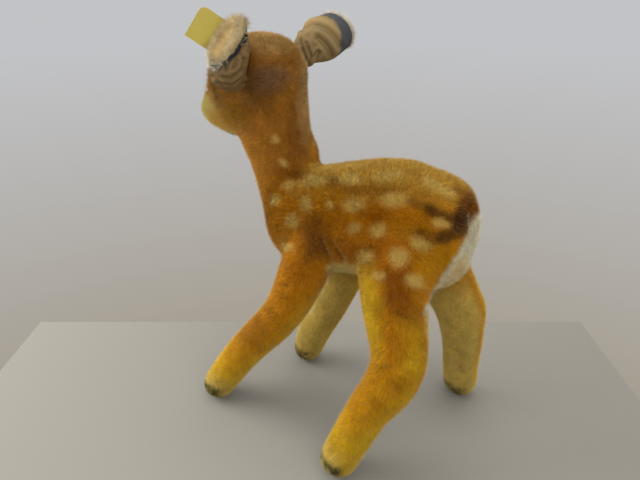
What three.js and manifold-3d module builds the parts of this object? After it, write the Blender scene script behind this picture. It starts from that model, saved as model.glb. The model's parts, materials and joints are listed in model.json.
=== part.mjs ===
// Standing fawn, a stuffed soft toy of mohair plush, at real size in millimetres.
// It stands on z = 0, faces -Y and has its left side at +X.
import * as THREE from 'three';
import { mergeVertices } from 'three/addons/utils/BufferGeometryUtils.js';
import Module from 'manifold-3d';

const wasm = await Module();
wasm.setup();

// Fits
const seatGap = 0.3;
const wireBoreGap = 0.5;
const coverThickness = 3;
const soleDepth = 0.5;
const cutOverrun = 40;

// Trunk, from the rump to the chest
const backHeight = 258;
const trunkSpan = 136;
const trunkDepth = 98;
const trunkWidth = 80;
const rumpReach = 29;
const chestReach = 15;

// Neck and head
const neckRise = 96;
const neckLean = 30;
const neckDepth = 56;
const neckWidth = 47;
const headLength = 98;
const headDepth = 66;
const headWidth = 64;
const headDrop = 38;
const headTurn = THREE.MathUtils.degToRad(-9);
const headTilt = THREE.MathUtils.degToRad(10);

// Legs
const frontLegThickness = 34;
const hindLegThickness = 34;

// Ears
const earStalk = { left: 10, right: 14 };
const earLength = { left: 43, right: 44 };
const earWidth = { left: 33, right: 36 };
const earBackThickness = 1.6;
const earLiningThickness = 2.4;
const earSink = 5;
const earRaise = { left: THREE.MathUtils.degToRad(97), right: THREE.MathUtils.degToRad(16) };
const earForward = { left: THREE.MathUtils.degToRad(25), right: THREE.MathUtils.degToRad(-18) };
const earOpening = { left: THREE.MathUtils.degToRad(176), right: THREE.MathUtils.degToRad(95) };
const earFlex = THREE.MathUtils.degToRad(18);

// Tail
const tailLength = 34;
const tailWidth = 18;
const tailThickness = 8;
const tailLift = THREE.MathUtils.degToRad(45);

// Eyes and nose
const eyeDiameter = 10;
const eyeDome = 3.8;
const eyeShankDiameter = 2.4;
const eyeShankLength = 11;
const noseWidth = 15;
const noseDepth = 10;
const noseThread = 1.2;

// Wires that stiffen the legs and the neck
const wireDiameter = 3;
const wireSpacing = 9;

// Cloth tag and its rivet
const tagWidth = 25;
const tagLength = 28;
const tagTab = 4;
const tagNeck = 7;
const tagThickness = 0.8;
const tagCorner = 5;
const tagLift = 0.6;
const rivetHeadDiameter = 6;
const rivetHeadHeight = 1.2;
const rivetShankDiameter = 2;
const rivetCapDiameter = 4;

// Fineness of the faceted forms: sides round a form, rings in a span and rings in a round end
const skinMesh = { sides: 20, rings: 3, capRings: 4 };
const limbMesh = { sides: 14, rings: 3, capRings: 3 };
const innerMesh = { sides: 10, rings: 2, capRings: 2 };
const wireSides = 6;
const wireSteps = 22;

const across = new THREE.Vector3(1, 0, 0);
const upward = new THREE.Vector3(0, 0, 1);

const colours = {
  plush: 0xb9822f, golden: 0xc79a3c, cream: 0xe2d3a0, velvet: 0x9a7a4a, lining: 0xd8c8a0,
  woodWool: 0xd0b070, wire: 0x8c8c8c, glass: 0x2a160a, thread: 0x17120f, tag: 0xd8c640, brass: 0xb99a4a,
};

// A place in the fawn's own terms: ahead of the trunk's middle, out to its left, and up.
function place(ahead, left, up) {
  return new THREE.Vector3(left, -ahead, up);
}

function toSolid(geometry) {
  const bare = geometry.clone();
  bare.deleteAttribute('normal');
  bare.deleteAttribute('uv');
  const merged = mergeVertices(bare);
  return new wasm.Manifold(new wasm.Mesh({
    numProp: 3,
    vertProperties: new Float32Array(merged.attributes.position.array),
    triVerts: new Uint32Array(merged.index.array),
  }));
}

function toGeometry(solid) {
  const mesh = solid.getMesh();
  const geometry = new THREE.BufferGeometry();
  geometry.setAttribute('position', new THREE.BufferAttribute(new Float32Array(mesh.vertProperties), 3));
  geometry.setIndex(new THREE.BufferAttribute(new Uint32Array(mesh.triVerts), 1));
  geometry.computeVertexNormals();
  return geometry;
}

// Moves every point of a closed surface outwards along its normal.
function swollen(geometry, distance) {
  const copy = mergeVertices(geometry);
  copy.computeVertexNormals();
  const points = copy.attributes.position;
  const normals = copy.attributes.normal;
  for (let i = 0; i < points.count; i += 1) {
    points.setXYZ(
      i,
      points.getX(i) + normals.getX(i) * distance,
      points.getY(i) + normals.getY(i) * distance,
      points.getZ(i) + normals.getZ(i) * distance,
    );
  }
  copy.deleteAttribute('normal');
  return copy;
}

// Closes a stack of rings of points, each with the same count, between a first and a last point.
function skinOver(firstPole, rings, lastPole) {
  const sides = rings[0].length;
  const points = [firstPole, ...rings.flat(), lastPole];
  const last = points.length - 1;
  const faces = [];
  for (let side = 0; side < sides; side += 1) {
    const next = (side + 1) % sides;
    faces.push(0, 1 + next, 1 + side);
    for (let ring = 0; ring < rings.length - 1; ring += 1) {
      const low = 1 + ring * sides;
      const high = low + sides;
      faces.push(low + side, low + next, high + next, low + side, high + next, high + side);
    }
    faces.push(last, last - sides + side, last - sides + next);
  }
  const geometry = new THREE.BufferGeometry();
  geometry.setAttribute('position', new THREE.Float32BufferAttribute(points.flatMap((p) => p.toArray()), 3));
  geometry.setIndex(faces);
  return geometry;
}

// A stuffed form: rings square to a centre line, which swell and taper with it, and a round cap at
// each end. A station is a point of the centre line with the form's half depth and half width there.
function stuffedForm(stations, caps, mesh, side = across) {
  const line = new THREE.CatmullRomCurve3(stations.map((s) => s.at));
  const girth = new THREE.CatmullRomCurve3(stations.map((s) => new THREE.Vector3(s.deep, s.wide, 0)));
  const ringAt = (centre, ahead, deep, wide) => {
    const sideways = side.clone().addScaledVector(ahead, -side.dot(ahead)).normalize();
    const thick = new THREE.Vector3().crossVectors(ahead, sideways);
    return Array.from({ length: mesh.sides }, (_, i) => {
      const angle = (2 * Math.PI * i) / mesh.sides;
      return centre.clone()
        .addScaledVector(sideways, wide * Math.cos(angle))
        .addScaledVector(thick, deep * Math.sin(angle));
    });
  };
  const cap = (t, direction, reach) => Array.from({ length: mesh.capRings }, (_, i) => {
    const angle = (Math.PI / 2) * ((i + 1) / (mesh.capRings + 1));
    const ahead = line.getTangent(t);
    const size = girth.getPoint(t).multiplyScalar(Math.cos(angle));
    const centre = line.getPoint(t).addScaledVector(ahead, direction * reach * Math.sin(angle));
    return ringAt(centre, ahead, size.x, size.y);
  });
  const steps = (stations.length - 1) * mesh.rings;
  const middle = Array.from({ length: steps + 1 }, (_, i) => {
    const t = i / steps;
    const size = girth.getPoint(t);
    return ringAt(line.getPoint(t), line.getTangent(t), size.x, size.y);
  });
  const start = line.getPoint(0).addScaledVector(line.getTangent(0), -caps.start);
  const end = line.getPoint(1).addScaledVector(line.getTangent(1), caps.end);
  return skinOver(start, [...cap(0, -1, caps.start).reverse(), ...middle, ...cap(1, 1, caps.end)], end);
}

// The nested surfaces of one stuffed form: its skin, the space a neighbour keeps clear of, the
// hollow under the skin, and the stuffing in it.
function layersOf(stations, caps, mesh, side = across) {
  const skin = stuffedForm(stations, caps, mesh, side);
  const inside = stuffedForm(stations, caps, innerMesh, side);
  return {
    line: new THREE.CatmullRomCurve3(stations.map((s) => s.at)),
    girth: new THREE.CatmullRomCurve3(stations.map((s) => new THREE.Vector3(s.deep, s.wide, 0))),
    side,
    skin: toSolid(skin),
    clear: toSolid(swollen(skin, seatGap)),
    hollow: toSolid(swollen(inside, -coverThickness)),
    stuffing: toSolid(swollen(inside, -coverThickness - seatGap)),
    skinSurface: skin,
  };
}

// The point of a form's skin at a share of its centre line, at an angle from its left side upwards,
// with the direction that the skin faces there.
function skinPoint(form, share, angle) {
  const ahead = form.line.getTangent(share);
  const sideways = form.side.clone().addScaledVector(ahead, -form.side.dot(ahead)).normalize();
  const thick = new THREE.Vector3().crossVectors(ahead, sideways);
  const size = form.girth.getPoint(share);
  const at = form.line.getPoint(share)
    .addScaledVector(sideways, size.y * Math.cos(angle))
    .addScaledVector(thick, size.x * Math.sin(angle));
  const facing = sideways.multiplyScalar(Math.cos(angle) / size.y)
    .addScaledVector(thick, Math.sin(angle) / size.x).normalize();
  return { at, facing };
}

// A copy of a surface turned about a line.
function turnedAbout(geometry, pivot, axis, angle) {
  return geometry.clone()
    .translate(-pivot.x, -pivot.y, -pivot.z)
    .applyMatrix4(new THREE.Matrix4().makeRotationAxis(axis, angle))
    .translate(pivot.x, pivot.y, pivot.z);
}

// The space that a neighbour takes, seen from a piece that flexes on it by some angles.
function flexClearance(surface, pivot, axis, angles) {
  return angles.map((angle) => toSolid(swollen(turnedAbout(surface, pivot, axis, -angle), seatGap)));
}

function without(solid, ...cutters) {
  return cutters.reduce((left, cutter) => left.subtract(cutter), solid);
}

// Trunk: each row holds shares of the span from the rump, of the depth down from the back, of half
// the depth and of half the width.
const trunkShares = [
  [0, 0.46, 0.91, 0.8],
  [0.2, 0.495, 0.99, 0.97],
  [0.45, 0.53, 0.97, 1],
  [0.72, 0.64, 0.93, 0.93],
  [1, 0.72, 0.9, 0.8],
];

function trunkPoint(spanShare, dropShare, left) {
  return place(trunkSpan * (spanShare - 1 / 2), left, backHeight - trunkDepth * dropShare);
}

const trunkStations = trunkShares.map(([spanShare, dropShare, deepShare, wideShare]) => ({
  at: trunkPoint(spanShare, dropShare, 0),
  deep: (trunkDepth / 2) * deepShare,
  wide: (trunkWidth / 2) * wideShare,
}));
const trunk = layersOf(trunkStations, { start: rumpReach, end: chestReach }, skinMesh);

// Neck: each row holds shares of its rise and lean, and of half its depth and width.
const neckRootShares = [0.94, 0.69];
const neckShares = [
  [0, 0, 1.16, 1.22],
  [0.35, 0.4, 1.1, 1.12],
  [0.66, 0.78, 1.2, 1.02],
  [1, 1.14, 1.5, 1.1],
];
const neckRoot = trunkPoint(neckRootShares[0], neckRootShares[1], 0);
const neckStations = neckShares.map(([riseShare, leanShare, deepShare, wideShare]) => ({
  at: neckRoot.clone().add(place(neckLean * leanShare, 0, neckRise * riseShare)),
  deep: (neckDepth / 2) * deepShare,
  wide: (neckWidth / 2) * wideShare,
}));
const neckTop = neckStations[neckStations.length - 1].at;
const neck = layersOf(neckStations, { start: neckDepth / 3, end: neckDepth / 4 }, limbMesh);

// Head: rows of shares of its length, of its drop from the crown to the muzzle, and of half its
// depth and width. It turns with the neck's top as its pivot.
const skullBackShare = 0.16;
const skullRiseShare = 0.26;
const headShares = [
  [0, -0.08, 0.93, 0.96],
  [0.24, 0, 1, 1],
  [0.5, 0.5, 1.22, 0.9],
  [0.77, 0.86, 0.92, 0.66],
  [1, 1.1, 0.52, 0.49],
];
const turned = new THREE.Matrix4().makeTranslation(neckTop.x, neckTop.y, neckTop.z)
  .multiply(new THREE.Matrix4().makeRotationZ(headTurn))
  .multiply(new THREE.Matrix4().makeRotationY(headTilt));
const headSide = across.clone().transformDirection(turned);
const headUp = upward.clone().transformDirection(turned);
const headAhead = new THREE.Vector3().crossVectors(headSide, headUp);

// A place on the head, in shares of its length, half width and drop, turned as the head is.
function headPoint(lengthShare, widthShare, dropShare) {
  return place(
    headLength * (lengthShare - skullBackShare),
    (headWidth / 2) * widthShare,
    headDepth * skullRiseShare - headDrop * dropShare,
  ).applyMatrix4(turned);
}

const headStations = headShares.map(([lengthShare, dropShare, deepShare, wideShare]) => ({
  at: headPoint(lengthShare, 0, dropShare),
  deep: (headDepth / 2) * deepShare,
  wide: (headWidth / 2) * wideShare,
}));
const skullReach = headDepth / 3;
const muzzleReach = headDepth / 5;
const head = layersOf(headStations, { start: skullReach, end: muzzleReach }, skinMesh, headSide);

// Legs: each row holds shares of the root's height above the table (ahead, outwards, down), and of
// half the leg's thickness (fore and aft, across). The last row is the foot, which stands on the table.
const legRoots = {
  front: { spanShare: 0.7, dropShare: 0.73, outShare: 0.5, thickness: frontLegThickness },
  hind: { spanShare: 0.15, dropShare: 0.49, outShare: 0.5, thickness: hindLegThickness },
};
const legShares = {
  front_left: [
    [0, 0, 0, 1.3, 1.2],
    [0.016, 0.05, 0.13, 1.3, 1.15],
    [0.097, 0.108, 0.371, 1.08, 1.04],
    [0.306, 0.183, 0.661, 1, 1],
    [0.462, 0.247, 0.919, 0.93, 0.93],
  ],
  front_right: [
    [0, 0, 0, 1.3, 1.2],
    [-0.016, 0.03, 0.16, 1.3, 1.15],
    [0.07, 0.04, 0.457, 1.05, 1.04],
    [0.215, 0.048, 0.763, 1, 1],
    [0.274, 0.059, 0.919, 0.93, 0.93],
  ],
  hind_left: [
    [0, 0, 0, 2, 1.1],
    [-0.033, 0.052, 0.214, 1.6, 1.2],
    [-0.095, 0.095, 0.41, 1.3, 1.15],
    [-0.085, 0.12, 0.51, 1.2, 1.1],
    [-0.02, 0.152, 0.657, 1.03, 1.03],
    [0.067, 0.214, 0.929, 0.97, 0.97],
  ],
  hind_right: [
    [0, 0, 0, 2, 1.1],
    [-0.045, 0.071, 0.214, 1.55, 1.2],
    [-0.13, 0.13, 0.4, 1.28, 1.15],
    [-0.147, 0.19, 0.6, 1.06, 1.06],
    [-0.135, 0.25, 0.77, 0.98, 1],
    [-0.128, 0.31, 0.929, 0.97, 0.97],
  ],
};

function legStations(name) {
  const [pair, sideName] = name.split('_');
  const root = legRoots[pair];
  const left = sideName === 'left' ? 1 : -1;
  const outward = (trunkWidth / 2) * root.outShare;
  const start = trunkPoint(root.spanShare, root.dropShare, left * outward);
  const rows = legShares[name];
  return rows.map(([aheadShare, outShare, downShare, deepShare, wideShare], index) => {
    const at = start.clone().add(place(aheadShare * start.z, left * outShare * start.z, -downShare * start.z));
    if (index === rows.length - 1) {
      at.z = (root.thickness / 2) * deepShare - soleDepth;
    }
    return { at, deep: (root.thickness / 2) * deepShare, wide: (root.thickness / 2) * wideShare };
  });
}

const legs = Object.fromEntries(Object.keys(legShares).map((name) => {
  const stations = legStations(name);
  const foot = stations[stations.length - 1];
  return [name, layersOf(stations, { start: foot.deep, end: foot.deep }, limbMesh)];
}));

// A round wire along a smooth line through given points.
function wireThrough(points) {
  const ring = new THREE.Shape().absarc(0, 0, wireDiameter / 2, 0, 2 * Math.PI, false);
  const outline = new THREE.Shape(ring.getSpacedPoints(wireSides));
  const path = new THREE.CatmullRomCurve3(points);
  const geometry = new THREE.ExtrudeGeometry(outline, { steps: wireSteps, bevelEnabled: false, extrudePath: path });
  geometry.deleteAttribute('normal');
  geometry.deleteAttribute('uv');
  return mergeVertices(geometry);
}

// A pair of legs shares one wire, bent over inside the trunk.
const wireWalkShares = [0.96, 0.8, 0.6, 0.4, 0.2, 0.05];
function pairWire(pair) {
  const leftLine = legs[`${pair}_left`].line;
  const rightLine = legs[`${pair}_right`].line;
  const down = wireWalkShares.map((share) => leftLine.getPoint(share));
  const up = wireWalkShares.map((share) => rightLine.getPoint(share)).reverse();
  return wireThrough([...down, ...up]);
}

// The neck's wire runs above the leg wires in the trunk, up the neck and into the head.
const spineRise = wireSpacing + wireDiameter;
const spineTrunkShares = [[0.05, 0.5], [0.4, 0.5], [0.75, 0.55]];
const spineNeckShares = [0.45, 0.8];
const spineHeadShares = [0.3, 0.1];
const spinePoints = [
  ...spineTrunkShares.map(([span, drop]) => trunkPoint(span, drop, 0).addScaledVector(upward, spineRise)),
  ...spineNeckShares.map((share) => neck.line.getPoint(share)),
  headPoint(spineHeadShares[0], 0, spineHeadShares[1]),
];
const wires = {
  front_leg_wire: pairWire('front'),
  hind_leg_wire: pairWire('hind'),
  neck_wire: wireThrough(spinePoints),
};
const wireSpaces = Object.values(wires).map((wire) => toSolid(swollen(wire, wireBoreGap)));

// Ears: cups gathered at the head. Each row holds shares of the ear's length, and of half its width
// up and down and fore and aft.
const earShares = {
  left: [
    [0, 0.48, 0.3],
    [0.2, 0.48, 0.4],
    [0.45, 0.72, 0.74],
    [0.72, 1, 0.95],
    [1, 0.98, 0.92],
  ],
  right: [
    [0, 0.32, 0.28],
    [0.2, 0.57, 0.38],
    [0.45, 0.77, 0.74],
    [0.72, 1, 0.95],
    [1, 0.9, 0.92],
  ],
};
const earRootShare = 0.01;
const earRootAngle = THREE.MathUtils.degToRad(14);
const earCutShare = { left: 0.61, right: 0.32 };
const earLeadShare = 0.35;
const earMesh = { sides: 14, rings: 8, backFloor: 1, liningBottom: 2, liningFloor: 3 };

function earFrame(sideName) {
  const left = sideName === 'left' ? 1 : -1;
  const rootAngle = left > 0 ? earRootAngle : Math.PI - earRootAngle;
  const seat = skinPoint(head, earRootShare, rootAngle);
  const level = Math.cos(earRaise[sideName]);
  const out = place(
    level * Math.sin(earForward[sideName]),
    left * level * Math.cos(earForward[sideName]),
    Math.sin(earRaise[sideName]),
  ).transformDirection(turned);
  const lead = seat.facing.clone().addScaledVector(out, earLeadShare).normalize();
  const start = seat.at.clone().addScaledVector(lead, -earSink);
  const bend = seat.at.clone().addScaledVector(lead, earStalk[sideName]);
  const end = bend.clone().addScaledVector(out, earLength[sideName] - earStalk[sideName]);
  return {
    root: seat.at,
    path: new THREE.QuadraticBezierCurve3(start, bend, end),
    profile: new THREE.CatmullRomCurve3(earShares[sideName].map(([l, t, f]) => new THREE.Vector3(l, t, f))),
    left,
    radius: earWidth[sideName] / 2,
    cut: earLength[sideName] * earCutShare[sideName],
    opening: earOpening[sideName],
  };
}

// The directions of the ear's height and of its front at a share of its length.
function earDirections(frame, share) {
  const along = frame.path.getTangent(share);
  const fore = headAhead.clone().addScaledVector(along, -headAhead.dot(along)).normalize();
  const tall = new THREE.Vector3().crossVectors(fore, along).multiplyScalar(frame.left);
  return { tall, fore };
}

// A point of the ear's wall, at a share of its length and an angle from its top towards its front,
// drawn in from the ear's back by some depth. The rim is cut shorter on the side that it opens to.
function earPoint(frame, share, angle, drawnIn) {
  const row = frame.profile.getPoint(share);
  const { tall, fore } = earDirections(frame, row.x);
  const cutBack = (frame.cut * share * (1 + Math.cos(angle - frame.opening))) / 2;
  const reach = frame.path.getPoint(1).sub(frame.path.getPoint(1 / 2)).normalize();
  return frame.path.getPoint(row.x)
    .addScaledVector(reach, -cutBack)
    .addScaledVector(tall, (frame.radius * row.y - drawnIn) * Math.cos(angle))
    .addScaledVector(fore, (frame.radius * row.z - drawnIn) * Math.sin(angle));
}

function earRing(frame, share, drawnIn) {
  return Array.from({ length: earMesh.sides }, (_, i) => (
    earPoint(frame, share, (frame.left * 2 * Math.PI * i) / earMesh.sides, drawnIn)));
}

function ringMiddle(ring) {
  return ring.reduce((sum, point) => sum.add(point), new THREE.Vector3()).divideScalar(ring.length);
}

// One layer of an ear: its outer wall from a ring to the rim, and its inner wall back down to a
// ring that is its floor.
function earLayer(frame, outerStart, outerIn, floorStart, innerIn) {
  const walk = (start, drawnIn) => Array.from(
    { length: earMesh.rings + 1 - start },
    (_, i) => earRing(frame, (start + i) / earMesh.rings, drawnIn),
  );
  const outer = walk(outerStart, outerIn);
  const inner = walk(floorStart, innerIn).reverse();
  return toSolid(skinOver(ringMiddle(outer[0]), [...outer, ...inner], ringMiddle(inner[inner.length - 1])));
}

// The rivet's place on the left ear, on the outer wall of its front. The tag lies under its head.
const rivetShare = 0.84;
const rivetAngle = THREE.MathUtils.degToRad(57);
const tagTurn = THREE.MathUtils.degToRad(50);
const liningDepth = earBackThickness + seatGap + earLiningThickness;

const slopeStepShare = 0.02;

function rivetFrame(frame) {
  const foot = earPoint(frame, rivetShare, rivetAngle, 0);
  const along = earPoint(frame, rivetShare + slopeStepShare, rivetAngle, 0).sub(foot).normalize();
  const round = earPoint(frame, rivetShare, rivetAngle + slopeStepShare, 0).sub(foot).normalize();
  const outward = new THREE.Vector3().crossVectors(round, along).normalize();
  along.applyAxisAngle(outward, -tagTurn);
  const basis = new THREE.Matrix4().makeBasis(along, new THREE.Vector3().crossVectors(outward, along), outward);
  return { foot, outward, basis: basis.setPosition(foot) };
}

const ears = Object.fromEntries(['left', 'right'].map((sideName) => {
  const frame = earFrame(sideName);
  const liningIn = earBackThickness + seatGap;
  const clearances = flexClearance(head.skinSurface, frame.root, headUp, [-earFlex, 0, earFlex]);
  const back = earLayer(frame, 0, 0, earMesh.backFloor, earBackThickness);
  const lining = earLayer(frame, earMesh.liningBottom, liningIn, earMesh.liningFloor, liningDepth);
  return [sideName, {
    frame,
    back: without(back, ...clearances),
    lining: without(lining, ...clearances),
  }];
}));

// A turned piece: its outline in its own axis, from the inside outwards, set at a place and facing.
function turnedPiece(outline, sides, at, facing) {
  const points = outline.map(([radius, height]) => new THREE.Vector2(radius, height));
  const geometry = new THREE.LatheGeometry(points, sides);
  const aim = new THREE.Quaternion().setFromUnitVectors(new THREE.Vector3(0, 1, 0), facing);
  geometry.applyQuaternion(aim).translate(at.x, at.y, at.z);
  geometry.deleteAttribute('normal');
  geometry.deleteAttribute('uv');
  return mergeVertices(geometry);
}

// Eyes: a glass dome set into the cover, with a shank into the stuffing.
const eyeShare = 0.56;
const eyeAngle = THREE.MathUtils.degToRad(20);
const eyeSink = 2;
const domeSteps = 4;
const turnedSides = 16;
const eyeOutline = [
  [0, -eyeShankLength],
  [eyeShankDiameter / 2, -eyeShankLength],
  [eyeShankDiameter / 2, 0],
  [eyeDiameter / 2, 0],
  ...Array.from({ length: domeSteps }, (_, i) => {
    const angle = (Math.PI / 2) * ((i + 1) / domeSteps);
    return [(eyeDiameter / 2) * Math.cos(angle), eyeDome * Math.sin(angle)];
  }),
];
const eyes = Object.fromEntries([['left', eyeAngle], ['right', Math.PI - eyeAngle]].map(([sideName, angle]) => {
  const seat = skinPoint(head, eyeShare, angle);
  seat.at.addScaledVector(seat.facing, -eyeSink);
  return [sideName, turnedPiece(eyeOutline, turnedSides, seat.at, seat.facing)];
}));

// Nose: a pad of thread over the muzzle's tip.
const noseShare = 0.97;
const noseSeat = skinPoint(head, noseShare, Math.PI / 2);
const noseRiseShare = 0.4;
const muzzleAhead = head.line.getTangent(1);
const noseMiddle = head.line.getPoint(1).addScaledVector(muzzleAhead, muzzleReach)
  .lerp(noseSeat.at, noseRiseShare);
const noseBlob = new THREE.SphereGeometry(1, turnedSides, turnedSides / 2);
noseBlob.scale(noseWidth / 2, noseDepth, noseDepth / 2).translate(noseMiddle.x, noseMiddle.y, noseMiddle.z);
const nose = toSolid(swollen(head.skinSurface, seatGap + noseThread))
  .subtract(head.clear)
  .intersect(toSolid(noseBlob));

// Tail: a short flat form that hangs against the rump. Each row holds shares of its length back and
// down, of half its thickness and of half its width.
const tailRootShares = [0.2, 0.8];
const tailRoot = trunkPoint(0, tailRootShares[0], 0).add(place(-rumpReach * tailRootShares[1], 0, 0));
const tailShares = [
  [0, 0, 0.8, 0.7],
  [0.17, 0.33, 1, 0.95],
  [0.2, 0.86, 0.7, 0.8],
];
const tailStations = tailShares.map(([backShare, downShare, thickShare, wideShare]) => ({
  at: tailRoot.clone().add(place(-tailLength * backShare, 0, -tailLength * downShare)),
  deep: (tailThickness / 2) * thickShare,
  wide: (tailWidth / 2) * wideShare,
}));
const tailForm = stuffedForm(tailStations, { start: tailThickness / 2, end: tailThickness / 2 }, limbMesh);
const tail = without(toSolid(tailForm), ...flexClearance(trunk.skinSurface, tailRoot, across, [0, tailLift]));

// Rivet: a flat head over the tag, a shank through the ear and a smaller head inside the ear.
const wallThrough = liningDepth + seatGap;
const rivetOutline = [
  [0, -wallThrough - rivetHeadHeight],
  [rivetCapDiameter / 2, -wallThrough - rivetHeadHeight],
  [rivetCapDiameter / 2, -wallThrough],
  [rivetShankDiameter / 2, -wallThrough],
  [rivetShankDiameter / 2, tagLift + tagThickness + seatGap],
  [rivetHeadDiameter / 2, tagLift + tagThickness + seatGap],
  [rivetHeadDiameter / 2, tagLift + tagThickness + seatGap + rivetHeadHeight / 2],
  [0, tagLift + tagThickness + seatGap + rivetHeadHeight],
];
const rivetPlace = rivetFrame(ears.left.frame);
const rivet = turnedPiece(rivetOutline, turnedSides, rivetPlace.foot, rivetPlace.outward);

// Tag: a strip of cloth, held at a narrow tab, with a round corner at the free end.
const tagOutline = new THREE.Shape();
tagOutline.moveTo(-tagTab, -tagTab);
tagOutline.lineTo(tagNeck, -tagTab);
tagOutline.lineTo(tagNeck + tagTab, -tagWidth / 2);
tagOutline.lineTo(tagLength, -tagWidth / 2);
tagOutline.lineTo(tagLength, tagWidth / 2 - tagCorner);
tagOutline.absarc(tagLength - tagCorner, tagWidth / 2 - tagCorner, tagCorner, 0, Math.PI / 2, false);
tagOutline.lineTo(tagNeck + tagTab, tagWidth / 2);
tagOutline.lineTo(tagNeck, tagTab);
tagOutline.lineTo(-tagTab, tagTab);
const tag = new THREE.ExtrudeGeometry(tagOutline, { depth: tagThickness, bevelEnabled: false, curveSegments: 4 })
  .translate(0, 0, tagLift)
  .applyMatrix4(rivetPlace.basis);

// Pieces, filled in below as [name, solid, colour, roughness]
const pieces = [];
function addPiece(name, solid, colour, roughness) {
  pieces.push({ name, solid, colour, roughness });
}

// The table cuts the feet flat.
const tableSpan = 1000;
const table = toSolid(new THREE.BoxGeometry(tableSpan, tableSpan, cutOverrun).translate(0, 0, -cutOverrun / 2));

const legList = Object.entries(legs);
const rivetSpace = toSolid(swollen(rivet, seatGap));
addPiece('trunk_cover', without(trunk.skin, trunk.hollow, neck.hollow, ...legList.map(([, leg]) => leg.hollow)),
  colours.plush, 0.95);
addPiece('trunk_stuffing', without(trunk.stuffing, ...wireSpaces), colours.woodWool, 1);
addPiece('neck_cover', without(neck.skin, neck.hollow, trunk.clear, head.clear), colours.plush, 0.95);
addPiece('neck_stuffing', without(neck.stuffing, trunk.hollow, head.hollow, ...wireSpaces), colours.woodWool, 1);
const eyeSpaces = Object.values(eyes).map((eye) => toSolid(swollen(eye, seatGap)));
addPiece('head_cover', without(head.skin, head.hollow, neck.hollow, ...eyeSpaces), colours.plush, 0.95);
addPiece('head_stuffing', without(head.stuffing, ...wireSpaces, ...eyeSpaces), colours.woodWool, 1);
legList.forEach(([name, leg]) => {
  addPiece(`${name}_leg_cover`, without(leg.skin, leg.hollow, trunk.clear, table), colours.golden, 0.95);
  addPiece(`${name}_leg_stuffing`, without(leg.stuffing, trunk.hollow, ...wireSpaces), colours.woodWool, 1);
});
Object.entries(wires).forEach(([name, wire]) => addPiece(name, toSolid(wire), colours.wire, 0.4));
Object.entries(ears).forEach(([sideName, ear]) => {
  addPiece(`${sideName}_ear_back`, without(ear.back, rivetSpace), colours.velvet, 0.9);
  addPiece(`${sideName}_ear_lining`, without(ear.lining, rivetSpace), colours.lining, 0.95);
});

Object.entries(eyes).forEach(([sideName, eye]) => addPiece(`${sideName}_eye`, toSolid(eye), colours.glass, 0.1));
addPiece('nose_stitching', nose, colours.thread, 0.7);
addPiece('tail', tail, colours.cream, 0.95);
addPiece('ear_rivet', toSolid(rivet), colours.brass, 0.35);
addPiece('ear_tag', without(toSolid(tag), rivetSpace), colours.tag, 0.8);

const fawn = new THREE.Group();
pieces.forEach(({ name, solid, colour, roughness }) => {
  const material = new THREE.MeshStandardMaterial({ color: colour, roughness, metalness: 0 });
  const mesh = new THREE.Mesh(toGeometry(solid), material);
  mesh.name = name;
  fawn.add(mesh);
});

// The origin lies under the middle of the fawn's box.
const box = new THREE.Box3().setFromObject(fawn);
const middle = box.getCenter(new THREE.Vector3());
fawn.position.set(-middle.x, -middle.y, -box.min.z);

export default fawn;
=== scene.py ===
import json
import math

import bmesh
import bpy
import numpy as np
from mathutils import Matrix, Vector, noise
from mathutils.bvhtree import BVHTree


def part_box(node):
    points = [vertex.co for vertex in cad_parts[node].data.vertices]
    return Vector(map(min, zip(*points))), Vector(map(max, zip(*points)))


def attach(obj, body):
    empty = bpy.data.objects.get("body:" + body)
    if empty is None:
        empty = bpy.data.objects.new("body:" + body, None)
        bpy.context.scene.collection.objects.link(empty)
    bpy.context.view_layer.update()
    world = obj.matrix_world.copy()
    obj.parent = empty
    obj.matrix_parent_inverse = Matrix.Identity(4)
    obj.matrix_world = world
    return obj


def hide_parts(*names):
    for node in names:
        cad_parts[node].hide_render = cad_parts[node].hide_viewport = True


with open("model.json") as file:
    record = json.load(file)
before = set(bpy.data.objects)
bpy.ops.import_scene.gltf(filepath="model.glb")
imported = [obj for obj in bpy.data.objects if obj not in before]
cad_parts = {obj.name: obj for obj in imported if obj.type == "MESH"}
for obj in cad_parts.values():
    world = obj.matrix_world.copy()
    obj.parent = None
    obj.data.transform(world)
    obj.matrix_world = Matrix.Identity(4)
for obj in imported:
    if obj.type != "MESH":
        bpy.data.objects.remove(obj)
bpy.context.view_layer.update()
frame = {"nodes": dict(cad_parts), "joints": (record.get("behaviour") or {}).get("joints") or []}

nodes = frame["nodes"]
# Fixed seeds, so that each run gives the same pile
chance = np.random.default_rng(7)
noise.seed_set(7)

# Names of the fawn's parts
LEGS = ["front_left", "front_right", "hind_left", "hind_right"]
COVERS = ["trunk_cover", "neck_cover", "head_cover"] + [f"{leg}_leg_cover" for leg in LEGS]
STUFFINGS = ["trunk_stuffing", "neck_stuffing", "head_stuffing"] + [f"{leg}_leg_stuffing" for leg in LEGS]
WIRES = ["front_leg_wire", "hind_leg_wire", "neck_wire"]

# Camera, at the photograph's angle
PHOTO_WIDE, PHOTO_HIGH = 640, 480
FOCAL_PIXELS = 500
SENSOR = 36
VIEW_DOWN = math.radians(27.2)
VIEW_TURN = math.radians(38)
# Metres from the trunk's middle to the left and to the back, and over the table
EYE_LEFT, EYE_BACK, EYE_HIGH = 0.3036, 0.1918, 0.370

trunk_low, trunk_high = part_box("trunk_cover")
trunk_middle = (trunk_low + trunk_high) / 2
eye_point = Vector((trunk_middle.x + EYE_LEFT, trunk_middle.y + EYE_BACK, EYE_HIGH))
view_level = Vector((-math.cos(VIEW_TURN), -math.sin(VIEW_TURN), 0))
view_ahead = view_level * math.cos(VIEW_DOWN) - Vector((0, 0, math.sin(VIEW_DOWN)))
view_right = view_ahead.cross(Vector((0, 0, 1))).normalized()
view_up = view_right.cross(view_ahead)


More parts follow.
